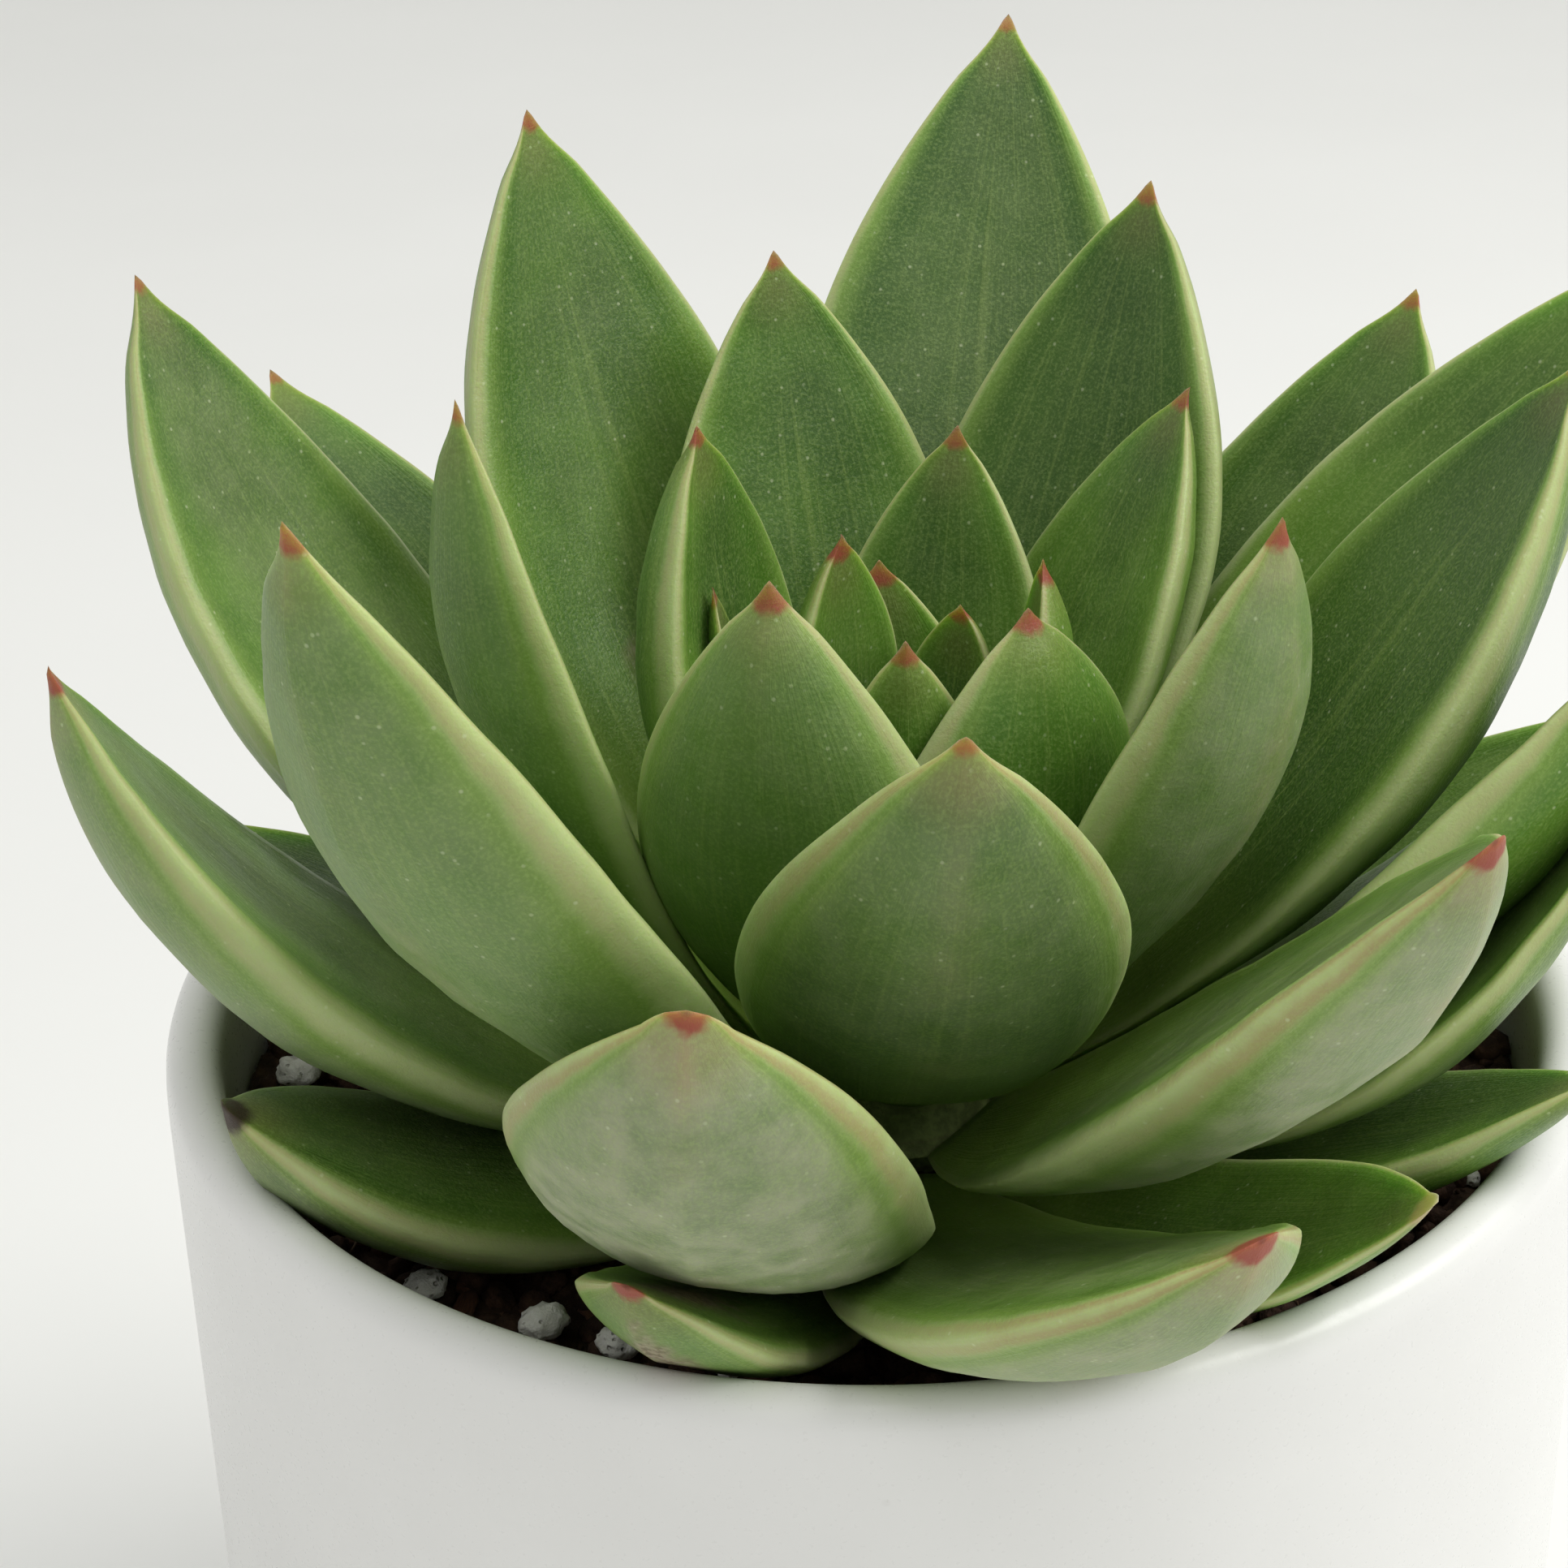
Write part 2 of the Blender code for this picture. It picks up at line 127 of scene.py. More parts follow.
# ---- colours of the rest -------------------------------------------------------------------------
GLAZE = (0.800, 0.800, 0.782), (0.830, 0.830, 0.812)
GLAZE_PITS = (0.55, 0.54, 0.51)
SOIL_GROUND = (0.026, 0.014, 0.009), (0.080, 0.044, 0.028)
SOIL_CRUMBS = (0.032, 0.017, 0.011), (0.115, 0.060, 0.038)
SOIL_FIBRES = (0.085, 0.050, 0.030)
BARK = (0.090, 0.034, 0.020), (0.24, 0.105, 0.058)
PERLITE = (0.84, 0.82, 0.77), (0.95, 0.94, 0.91)
PERLITE_PORES = (0.34, 0.29, 0.23)
PERLITE_DIRT = (0.12, 0.075, 0.05)
STEM = (0.15, 0.20, 0.05), (0.26, 0.34, 0.10)
STEM_RINGS = (0.16, 0.11, 0.06)
ROOTS = (0.13, 0.075, 0.04), (0.30, 0.21, 0.13)
FLOOR = (0.850, 0.853, 0.832), (0.865, 0.868, 0.847)

# ---- pot -----------------------------------------------------------------------------------------
POT_SEGMENTS = 224
POT_STEP = 2.0 * MM  # the longest straight piece of the pot's profile
CORNER_REACH = 1.6 * MM  # corners with shorter pieces than this beside them are eased

# ---- soil ----------------------------------------------------------------------------------------
SOIL_RINGS = 150
SOIL_SEGMENTS = 300
CRUMB_COUNT = 4200
CHIP_COUNT = 220
CHIP_STEPS, CHIP_AROUND = 7, 8
ROOT_COUNT = 46
ROOT_STEP = 0.45  # millimetres
ROOT_LIMIT = 43.5 * MM  # a root hair turns back at this distance from the axis
SMALL_GRAIN_COUNT = 46
GRAIN_FILL = 0.98  # how much of its box a grain fills

# ---- camera and light ----------------------------------------------------------------------------
# The camera wasn't designed: a scratch program solved it from positions marked on the photo.
CAMERA_TURN = (-1.762, 27.055, -1.659)  # yaw, pitch and roll in degrees
CAMERA_LENS = 74.42
CAMERA_BACK = 0.19862
CAMERA_ABOVE_POT = 0.11637
WORLD_COLOUR = (1.0, 1.0, 0.985, 1.0)
WORLD_STRENGTH = 0.64
LIGHTS = (  # name, place, size, power, colour
    ("key", (0.52, -0.02, 0.60), 0.42, 2.7, (1.0, 0.995, 0.97)),
    ("overhead", (0.10, -0.05, 0.95), 0.8, 2.2, (1.0, 1.0, 1.0)),
)
LIGHTS_AIM = (0.0, 0.0, 0.10)


# ---- small helpers -------------------------------------------------------------------------------
def link_object(name, mesh):
    made = bpy.data.objects.new(name, mesh)
    bpy.context.scene.collection.objects.link(made)
    return made


def mesh_object(name, points, faces):
    mesh = bpy.data.meshes.new(name)
    mesh.from_pydata([tuple(p) for p in points], [], [tuple(f) for f in faces])
    mesh.update()
    mesh.polygons.foreach_set("use_smooth", [True] * len(mesh.polygons))
    return link_object(name, mesh)


def store(mesh, name, values):
    attribute = mesh.attributes.new(name, "FLOAT", "POINT")
    attribute.data.foreach_set("value", np.asarray(values, np.float32))


def finish_piece(piece, replaced, material):
    piece.data.materials.append(material)
    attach(piece, "root")
    if replaced:
        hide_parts(*replaced)


def smoothstep(low, high, value):
    t = np.clip((np.asarray(value, float) - low) / (high - low), 0.0, 1.0)
    return t * t * (3.0 - 2.0 * t)


def band_faces(rows, around, first=0, flip=False):
    """Quads between each closed row of points and the next one."""
    faces = []
    for row in range(rows - 1):
        a, b = first + row * around, first + (row + 1) * around
        for k in range(around):
            j = (k + 1) % around
            faces.append((a + k, b + k, b + j, a + j) if flip else (a + k, a + j, b + j, b + k))
    return faces


def signed_volume(points, faces):
    total = 0.0
    for f in faces:
        for k in range(1, len(f) - 1):
            total += Vector(points[f[0]]).dot(Vector(points[f[k]]).cross(Vector(points[f[k + 1]])))
    return total


def facing_out(points, faces):
    if signed_volume(points, faces) < 0:
        return [tuple(reversed(f)) for f in faces]
    return faces


# ---- node helpers --------------------------------------------------------------------------------
class Paint:
    """One Principled material, with short calls for the nodes that drive it."""

    def __init__(self, name, roughness, **constants):
        self.material = bpy.data.materials.new(name)
        self.material.use_nodes = True
        self.tree = self.material.node_tree
        self.shader = self.tree.nodes["Principled BSDF"]
        self.shader.inputs["Roughness"].default_value = roughness
        for key, value in constants.items():
            self.shader.inputs[key.replace("_", " ")].default_value = value
        self.place = self.tree.nodes.new("ShaderNodeTexCoord").outputs["Object"]

    def put(self, socket, value):
        if isinstance(value, bpy.types.NodeSocket):
            self.tree.links.new(value, socket)
        elif hasattr(value, "__len__") and len(value) == 3 and socket.type == "RGBA":
            socket.default_value = (*value, 1.0)
        else:
            socket.default_value = value

    def attribute(self, name):
        node = self.tree.nodes.new("ShaderNodeAttribute")
        node.attribute_name = name
        return node.outputs["Fac"]

    def height(self):
        node = self.tree.nodes.new("ShaderNodeSeparateXYZ")
        self.put(node.inputs[0], self.place)
        return node.outputs["Z"]

    def math(self, operation, a, b=0.0):
        node = self.tree.nodes.new("ShaderNodeMath")
        node.operation = operation
        self.put(node.inputs[0], a)
        self.put(node.inputs[1], b)
        return node.outputs[0]

    def product(self, *values):
        total = values[0]
        for value in values[1:]:
            total = self.math("MULTIPLY", total, value)
        return total

    def span(self, value, low, high, to_low=0.0, to_high=1.0):
        """A smooth step from to_low to to_high while value goes from low to high."""
        node = self.tree.nodes.new("ShaderNodeMapRange")
        node.interpolation_type = "SMOOTHSTEP"
        self.put(node.inputs["Value"], value)
        node.inputs["From Min"].default_value = low
        node.inputs["From Max"].default_value = high
        node.inputs["To Min"].default_value = to_low
        node.inputs["To Max"].default_value = to_high
        return node.outputs[0]

    def noise(self, scale, detail, roughness=0.55, vector=None):
        node = self.tree.nodes.new("ShaderNodeTexNoise")
        self.put(node.inputs["Vector"], vector or self.place)
        node.inputs["Scale"].default_value = scale
        node.inputs["Detail"].default_value = detail
        node.inputs["Roughness"].default_value = roughness
        return node.outputs["Fac"]

    def cells(self, scale):
        node = self.tree.nodes.new("ShaderNodeTexVoronoi")
        self.put(node.inputs["Vector"], self.place)
        node.inputs["Scale"].default_value = scale
        return node.outputs["Distance"]

    def vector(self, x, y, z):
        node = self.tree.nodes.new("ShaderNodeCombineXYZ")
        for socket, value in zip(node.inputs, (x, y, z)):
            self.put(socket, value)
        return node.outputs[0]

    def mix(self, factor, a, b):
        node = self.tree.nodes.new("ShaderNodeMix")
        node.data_type = "RGBA"
        self.put(node.inputs[0], factor)
        self.put(node.inputs[6], a)
        self.put(node.inputs[7], b)
        return node.outputs[2]

    def bump(self, height, distance, strength, normal=None):
        node = self.tree.nodes.new("ShaderNodeBump")
        node.inputs["Strength"].default_value = strength
        node.inputs["Distance"].default_value = distance
        self.put(node.inputs["Height"], height)
        if normal:
            self.put(node.inputs["Normal"], normal)
        return node.outputs[0]

    def finish(self, colour, roughness=None, normal=None):
        self.put(self.shader.inputs["Base Color"], colour)
        if roughness is not None:
            self.put(self.shader.inputs["Roughness"], roughness)
        if normal is not None:
            self.put(self.shader.inputs["Normal"], normal)
        return self.material


# ---- materials -----------------------------------------------------------------------------------
def leaf_material(name, deep, lively):
    """Waxy leaf skin, painted by the attributes that leaf_piece stores on each point.

    `grow` runs from base to tip, `across` from margin to margin, `face` from the underside to
    the upper side, and `from_tip` is the distance to the tip in millimetres.
    """
    p = Paint(name, 0.45, Specular_IOR_Level=0.34, Subsurface_Weight=0.38, Subsurface_Scale=0.004)
    p.shader.inputs["Subsurface Radius"].default_value = (0.6, 1.0, 0.25)
    grow, across, face = p.attribute("grow"), p.attribute("across"), p.attribute("face")
    tone, bloom, blush = p.attribute("tone"), p.attribute("bloom"), p.attribute("blush")
    from_tip, scar, dry = p.attribute("from_tip"), p.attribute("scar"), p.attribute("dry")
    edge = p.math("ABSOLUTE", across)
    broad = p.noise(75, 3)
    mottled = p.noise(330, 5, 0.62)
    grain = p.noise(4200, 2, 0.6)
    streak_place = p.vector(p.product(grow, 2.2), p.product(across, 26.0), tone)
    streaks = p.noise(1.0, 3, 0.6, vector=streak_place)
    under = p.span(face, 0.25, -0.35)

    colour = p.mix(p.span(broad, 0.36, 0.66), deep, lively)
    colour = p.mix(p.span(tone, 0.0, 1.0, 0.0, 0.55), colour, lively)
    # the middle of a face is the deepest green, partly the leaf's own colour and partly painted shade
    middle = p.product(p.span(edge, 0.75, 0.15), p.span(grow, 0.25, 0.5), p.span(under, 1.0, 0.3))
    colour = p.mix(p.product(middle, p.span(broad, 0.30, 0.62, 0.80, 0.25)), colour, MIDDLE_GREEN_AND_SHADE)
    # painted shade: the leaves in SHADE are darkened, all but their margins
    shaded = p.product(p.attribute("shade"), p.span(edge, 0.97, 0.70))
    colour = p.mix(shaded, colour, SHADED_GREEN)
    # paler and yellower towards the base, and along the streaks
    basal = p.span(grow, 0.50, 0.03)
    colour = p.mix(p.product(basal, 0.70), colour, BASAL_GREEN)
    colour = p.mix(p.product(p.span(streaks, 0.50, 0.74), 0.22), colour, STREAK_GREEN)
    # pale bloom: a thin cloud on the upper face, a grey-white patch on the underside
    cloud = p.product(p.span(grow, 0.14, 0.5), p.span(mottled, 0.25, 0.72, 0.45, 1.0))
    above = p.product(p.span(edge, 0.96, 0.35), p.span(under, 1.0, 0.0))
    below = p.product(p.span(edge, 0.95, 0.80), p.span(under, 0.3, 1.0))
    veil = p.product(cloud, above, p.math("ADD", p.product(bloom, 0.50), 0.02))
    colour = p.mix(veil, colour, VEIL_GREY)
    patch = p.product(cloud, below, p.span(bloom, 0.05, 0.95))
    colour = p.mix(p.product(patch, 0.92), colour, PATCH_GREY)
    warm = p.product(patch, p.span(edge, 0.30, 0.0), p.span(broad, 0.40, 0.60), 0.40)
    colour = p.mix(warm, colour, PATCH_WARM)
    # light rim, with a thin red-brown line along it towards the tip
    wobble = p.math("ADD", edge, p.product(p.math("SUBTRACT", mottled, 0.5), 0.06))
    soft = p.span(wobble, 0.70, 0.97)
    colour = p.mix(p.product(soft, p.span(grow, 0.1, 0.5, 0.30, 0.42)), colour, MARGIN_SOFT)
    rim = p.span(wobble, 0.89, 0.985)
    colour = p.mix(p.product(rim, p.span(grow, 0.1, 0.5, 0.40, 0.75)), colour, MARGIN_PALE)
    upward = p.span(grow, 0.45, 0.92)
    line = p.span(p.math("ABSOLUTE", p.math("SUBTRACT", wobble, 0.965)), 0.045, 0.004)
    colour = p.mix(p.product(line, upward, blush, LINE_STRENGTH), colour, MARGIN_LINE)
    halo = p.product(p.span(from_tip, 7.0, 1.2), p.math("ADD", blush, 0.10), 0.42)
    colour = p.mix(halo, colour, TIP_HALO)
    # fine pale grain of the skin
    colour = p.mix(p.span(grain, 0.42, 0.70, 0.0, 0.19), colour, SKIN_GRAIN)
    dots = p.span(p.cells(900), 0.16, 0.05)
    colour = p.mix(p.product(dots, p.span(mottled, 0.42, 0.58), 0.42), colour, SKIN_DOTS)
    # red point
    unevenness = p.product(p.math("SUBTRACT", p.noise(1500, 2), 0.5), 0.8)
    ragged = p.math("ADD", from_tip, unevenness)
    reach = p.span(tone, 0.0, 1.0, 1.2, 1.9)
    redness = p.span(p.math("SUBTRACT", reach, ragged), -0.45, 0.35)
    colour = p.mix(redness, colour, TIP_RED)
    colour = p.mix(p.product(p.span(from_tip, 0.6, 0.1), 0.70), colour, TIP_DARK)
    # dried tips and scars
    dried = p.mix(p.span(dry, 0.5, 0.9), DRY_STRAW, DRY_DARK)
    colour = p.mix(p.product(p.span(dry, 0.0, 0.3), p.span(ragged, 2.6, 1.6)), colour, dried)
    corky = p.mix(p.span(p.noise(2100, 4), 0.42, 0.62), CORK_LIGHT, CORK_DARK)
    colour = p.mix(scar, colour, corky)

    roughness = p.math("ADD", p.span(mottled, 0.3, 0.7, 0.36, 0.48), p.product(patch, 0.16))
    height = p.math("ADD", p.product(grain, 0.45), p.product(mottled, 1.0))
    normal = p.bump(height, 0.00018, 0.6)
    normal = p.bump(streaks, 0.00022, 0.35, normal)
    return p.finish(colour, roughness, normal)


def glaze_material():
    p = Paint("pot_glaze", 0.3, Specular_IOR_Level=0.5)
    cloudy = p.noise(38, 4)
    fine = p.noise(2600, 3)
    colour = p.mix(p.span(cloudy, 0.35, 0.65), *GLAZE)
    pits = p.product(p.span(p.cells(240), 0.085, 0.045), p.span(p.noise(60, 2), 0.55, 0.62))
    colour = p.mix(p.product(pits, 0.12), colour, GLAZE_PITS)
    roughness = p.span(fine, 0.3, 0.7, 0.27, 0.36)
    normal = p.bump(p.noise(140, 3), 0.00012, 0.35)
    normal = p.bump(fine, 0.00002, 0.3, normal)
    return p.finish(colour, roughness, normal)


def soil_material(name, dark, light):
    p = Paint(name, 0.92, Specular_IOR_Level=0.3)
    lumps = p.noise(420, 6, 0.65)
    colour = p.mix(p.span(lumps, 0.38, 0.68), dark, light)
    fibres = p.noise(1700, 4, 0.7)
    colour = p.mix(p.span(fibres, 0.58, 0.78, 0.0, 0.55), colour, SOIL_FIBRES)
    normal = p.bump(fibres, 0.0004, 0.8)
    return p.finish(colour, p.span(fibres, 0.3, 0.7, 0.78, 0.97), normal)


def chip_material():
    p = Paint("bark_chip", 0.85)
    fibre_place = p.vector(p.attribute("along"), p.attribute("aside"), p.attribute("tone"))
    grain = p.noise(1.0, 4, 0.7, vector=fibre_place)
    colour = p.mix(p.span(grain, 0.35, 0.65), *BARK)
    return p.finish(colour, p.span(grain, 0.3, 0.7, 0.7, 0.92), p.bump(grain, 0.0003, 0.8))


def perlite_material():
    p = Paint("perlite", 0.95)
    rough = p.noise(900, 5, 0.7)
    pores = p.span(p.cells(1500), 0.30, 0.12)
    colour = p.mix(p.span(rough, 0.35, 0.7), *PERLITE)
    colour = p.mix(p.product(pores, 0.4), colour, PERLITE_PORES)
    dirt = p.span(p.noise(300, 3), 0.60, 0.70)
    colour = p.mix(p.product(dirt, 0.5), colour, PERLITE_DIRT)
    normal = p.bump(p.math("SUBTRACT", rough, pores), 0.0004, 0.9)
    return p.finish(colour, p.span(rough, 0.3, 0.7, 0.8, 0.98), normal)


def stem_material():
    p = Paint("stem_bark", 0.8)
    rings = p.noise(1.0, 4, 0.6, vector=p.vector(0.0, 0.0, p.product(p.height(), 900.0)))
    flecks = p.noise(700, 4, 0.65)
    colour = p.mix(p.span(flecks, 0.4, 0.62), *STEM)
    colour = p.mix(p.span(rings, 0.5, 0.7, 0.0, 0.5), colour, STEM_RINGS)
    return p.finish(colour, p.span(flecks, 0.3, 0.7, 0.62, 0.85), p.bump(flecks, 0.0003, 0.7))


def root_material():
    p = Paint("root_hair", 0.8)
    return p.finish(p.mix(p.span(p.noise(500, 3), 0.4, 0.6), *ROOTS))


def floor_material():
    p = Paint("floor_pale", 0.9, Specular_IOR_Level=0.2)
    return p.finish(p.mix(p.span(p.noise(9, 3), 0.3, 0.7), *FLOOR))


# ---- reading a leaf back from the frame ----------------------------------------------------------
def welded(mesh):
    """Points without repeats, and the triangles between them."""
    points = np.array([v.co for v in mesh.vertices], float)
    rounded = np.round(points * 1e7).astype(np.int64)
    _, first, index = np.unique(rounded, axis=0, return_index=True, return_inverse=True)
    index = index.reshape(-1)
    mesh.calc_loop_triangles()
    triangles = [[int(index[i]) for i in t.vertices] for t in mesh.loop_triangles]
    return points[first], triangles


def levels_from(start, neighbours):
    """The points one step away from the start, then two steps away, and so on."""
    seen = {start}
    levels = [[start]]
    while True:
        following = sorted({n for p in levels[-1] for n in neighbours[p]} - seen)
        if not following:
            return levels
        seen.update(following)
        levels.append(following)


def leaf_levels(points, triangles):
    """The tip and then each ring below it, found by walking away from the tip."""
    neighbours = [set() for _ in points]
    for triangle in triangles:
        for i in range(3):
            neighbours[triangle[i]].update((triangle[i - 1], triangle[i - 2]))
    for start in range(len(points)):
        if len(neighbours[start]) != RING_POINTS:
            continue
        levels = levels_from(start, neighbours)
        if [len(level) for level in levels] == [1] + [RING_POINTS] * RINGS:
            return levels
    raise ValueError("a leaf of the frame isn't a stack of rings")


def ring_order(level, above, triangles):
    """The points of a ring in order, by the sides of the triangles that reach the ring above."""
    members, higher = set(level), set(above)
    beside = {i: [] for i in level}
    for triangle in triangles:
        inside = [i for i in triangle if i in members]
        if len(inside) == 2 and any(i in higher for i in triangle):
            beside[inside[0]].append(inside[1])
            beside[inside[1]].append(inside[0])
    order = [level[0]]
    while len(order) < len(level):
        order.append(next(i for i in beside[order[-1]] if i not in order))
    return order


def aligned(order, points, model):
    """The turn and direction of a ring that lie closest to the ring before it."""
    def shape(p):
        p = p - p.mean(0)
        return p / np.sqrt((p**2).sum())

    target = shape(model)
    ways = [order[k:] + order[:k] for k in range(len(order))]
    ways += [list(reversed(way)) for way in ways]
    return min(ways, key=lambda way: ((shape(points[way]) - target) ** 2).sum())


def leaf_rings(node):
    """The rings from base to tip, as an array (ring, point, xyz), and the tip.

    Each ring starts at the left margin and goes over the upper side first.
    """
    points, triangles = welded(frame["nodes"][node].data)
    levels = leaf_levels(points, triangles)
    orders = [ring_order(levels[k], levels[k - 1], triangles) for k in range(1, len(levels))]
    widest = max(range(len(orders)), key=lambda k: np.ptp(points[orders[k]], axis=0).sum())
    first = orders[widest]
    half = RING_POINTS // 2
    k = max(range(half), key=lambda k: np.linalg.norm(points[first[k]] - points[first[k + half]]))
    first = first[k:] + first[:k]
    middle = (points[first[0]] + points[first[half]]) / 2
    if np.linalg.norm(points[first[2]] - middle) > np.linalg.norm(points[first[6]] - middle):
        first = first[half:] + first[:half]
    orders[widest] = first
    for steps in (range(widest + 1, len(orders)), range(widest - 1, -1, -1)):
        for k in steps:
            before = orders[k - 1 if k > widest else k + 1]
            orders[k] = aligned(orders[k], points, points[before])
    rings = np.array([points[order] for order in reversed(orders)])
    return rings, points[levels[0][0]]


def spline(at, known, values):
    """Cubic through the values, with slopes from the neighbours on both sides."""
    known = np.asarray(known, float)
    values = np.asarray(values, float)
    slopes = np.empty_like(values)
    steps = np.diff(known)
    secants = np.diff(values, axis=0) / steps[:, None]
    weighted = secants[:-1] * steps[1:, None] + secants[1:] * steps[:-1, None]
    slopes[1:-1] = weighted / (steps[1:] + steps[:-1])[:, None]
    slopes[0] = 1.5 * secants[0] - 0.5 * slopes[1]
    slopes[-1] = 1.5 * secants[-1] - 0.5 * slopes[-2]
    k = np.clip(np.searchsorted(known, at, side="right") - 1, 0, len(steps) - 1)
    t = ((at - known[k]) / steps[k])[:, None]
    h = steps[k][:, None]
    return (
        values[k] * (1 + 2 * t) * (1 - t) ** 2
        + slopes[k] * h * t * (1 - t) ** 2
        + values[k + 1] * t**2 * (3 - 2 * t)
        - slopes[k + 1] * h * t**2 * (1 - t)
    )


# ---- leaves --------------------------------------------------------------------------------------
def leaf_piece(node, material):
    rank = int(node.split("_")[1])
    rng = random.Random(SEED + rank)
    rings, tip = leaf_rings(node)
    half = RING_POINTS // 2
    left, right, top, bottom = rings[:, 0], rings[:, half], rings[:, 2], rings[:, 6]
    middle = (left + right) / 2
    line = np.vstack([middle, tip])
    lengths = np.concatenate([[0.0], np.cumsum(np.linalg.norm(np.diff(line, axis=0), axis=1))])
    known = lengths / lengths[-1]
    side = (right - left) / 2
    normal = top - bottom
    normal -= side * ((normal * side).sum(1) / (side**2).sum(1))[:, None]
    normal /= np.linalg.norm(normal, axis=1)[:, None]
    width = np.linalg.norm(side, axis=1)
    side_way = side / width[:, None]
    rise_top = ((top - middle) * normal).sum(1)
    rise_bottom = ((bottom - middle) * normal).sum(1)
    shape = np.column_stack([width, rise_top, rise_bottom])
    last_width = width[-1]
    shape = np.vstack([shape, [0.0, 0.0, 0.0]])
    ways = np.column_stack([side_way, normal])
    ways = np.vstack([ways, ways[-1]])

    share = np.linspace(0.0, 1.0, STEPS_ALONG)
    crowded = 1.0 - (1.0 - share) ** TIP_CROWDING
    at = EVEN_SHARE * share + (1.0 - EVEN_SHARE) * crowded
    centre = spline(at, known, line)
    size = spline(at, known, shape)
    way = spline(at, known, ways)
    # the shoulders stay full and the last of the leaf draws out into a fine point
    drawn_in = TIP_DRAW * smoothstep(DRAW_FROM, DRAW_TO, at) * (1.0 - smoothstep(DRAW_TO, 1.0, at))
    draw = np.ones_like(at) if rank in ROUND_TIPS else 1.0 - drawn_in
    turn = np.linspace(0.0, 2 * math.pi, STEPS_AROUND, endpoint=False)
    s = np.cos(turn)
    s = np.sign(s) * np.abs(s) ** SECTION_SQUARENESS
    points, grow, across, face, from_tip = [], [], [], [], []
    for i, t in enumerate(at[:-1]):
        w = max(size[i, 0], 0.0) * draw[i]
        if rank in ROUND_TIPS and t > known[-2]:
            w = last_width * math.sqrt((1.0 - t) / (1.0 - known[-2]))
        up = size[i, 1]
        low = min(size[i, 2], 0.0) * draw[i]
        thick = up - low
        along_side = way[i, :3] / np.linalg.norm(way[i, :3])
        along_normal = way[i, 3:] - along_side * (way[i, 3:] @ along_side)
        along_normal /= np.linalg.norm(along_normal)
        keel = KEEL * thick * smoothstep(0.45, 0.9, t)
        rim = RIM_HEIGHT * thick * smoothstep(0.1, 0.4, t)
        for a, x in zip(turn, s):
            if math.sin(a) >= 0:
                y = up * (1 - x * x) + EDGE_THICKNESS * thick * math.sqrt(max(1 - abs(x) ** 6, 0.0))
                y += rim * math.exp(-(((abs(x) - RIM_PLACE) / RIM_WIDTH) ** 2))
            else:
                y = low * (1 - abs(x) ** 2.5) ** UNDERSIDE_FULLNESS
                y -= keel * max(1 - abs(x) / 0.7, 0.0) ** 2
            p = Vector(centre[i] + along_side * (w * x) + along_normal * y)
            wave = noise.noise(p * 95 + Vector((rank, 0, 0))) + 0.5 * noise.noise(p * 260)
            amount = UNDERSIDE_WAVE if math.sin(a) < 0 else UPPER_WAVE
            p += Vector(along_normal) * wave * SKIN_WAVE * amount
            points.append(p)
            grow.append(t)
            across.append(x)
            face.append(math.sin(a))
            from_tip.append((p - Vector(tip)).length / MM)
    rings_made = STEPS_ALONG - 1
    points.append(Vector(tip))
    grow.append(1.0)
    across.append(0.0)
    face.append(0.0)
    from_tip.append(0.0)
    n = STEPS_AROUND
    faces = band_faces(rings_made, n)
    last = (rings_made - 1) * n
    for i in range(n):
        faces.append((last + i, last + (i + 1) % n, rings_made * n))
    faces.append(tuple(reversed(range(n))))
    piece = mesh_object(f"{node}_skin", points, facing_out(points, faces))
    tone = rng.random()
    by_point = {"grow": grow, "across": across, "face": face, "from_tip": from_tip}
    by_leaf = {
        "tone": 1.0 if rank in BRIGHT else tone,
        "shade": SHADE.get(rank, 0.0),
        "bloom": BLOOM.get(rank, BLOOM_USUAL),
        "blush": BLUSH.get(rank, BLUSH_USUAL),
        "dry": DRY_TIPS.get(rank, 0.0),
    }
    for name, values in by_point.items():
        store(piece.data, name, values)
    for name, value in by_leaf.items():
        store(piece.data, name, [value] * len(points))
    store(piece.data, "scar", scar_values(rank, points, grow, across))
    finish_piece(piece, [node], material)


def scar_values(rank, points, grow, across):
    values = np.zeros(len(points))
    for t, x, size, strength in SCARS.get(rank, ()):
        away = np.hypot(np.array(grow) - t, (np.array(across) - x) * 0.35)
        patchy = np.array([0.5 + 0.5 * noise.noise(Vector(p) * 900) for p in points])
        spot = smoothstep(size, size * 0.3, away + (patchy - 0.5) * size)
        values = np.maximum(values, strength * spot)
    return values


# ---- pot -----------------------------------------------------------------------------------------
def pot_profile():
    """The pot's wall from the middle of its underside, over the lip, to the middle of its floor."""
    points, triangles = welded(frame["nodes"]["pot"].data)
    around = np.degrees(np.arctan2(points[:, 1], points[:, 0]))
    radius = np.hypot(points[:, 0], points[:, 1])
    column = {i for i in range(len(points)) if radius[i] < 1e-6 or abs(around[i]) < 0.05}
    low = points[:, 2].min()
    beside = {i: set() for i in column}
    for triangle in triangles:
        inside = [i for i in triangle if i in column]
        for i in inside:
            beside[i].update(j for j in inside if j != i)
    start = min((i for i in column if points[i, 2] < low + 1e-6), key=lambda i: radius[i])
    path = [start]
    while True:
        following = [i for i in beside[path[-1]] if i not in path]
        if not following:
            break
        here = points[path[-1]]
        path.append(min(following, key=lambda i: np.linalg.norm(points[i] - here)))
    profile = [(radius[i], points[i, 2]) for i in path]
    if profile[0][0] > 1e-6:
        profile.insert(0, (0.0, profile[0][1]))
    if profile[-1][0] > 1e-6:
        profile.append((0.0, profile[-1][1]))
    return profile


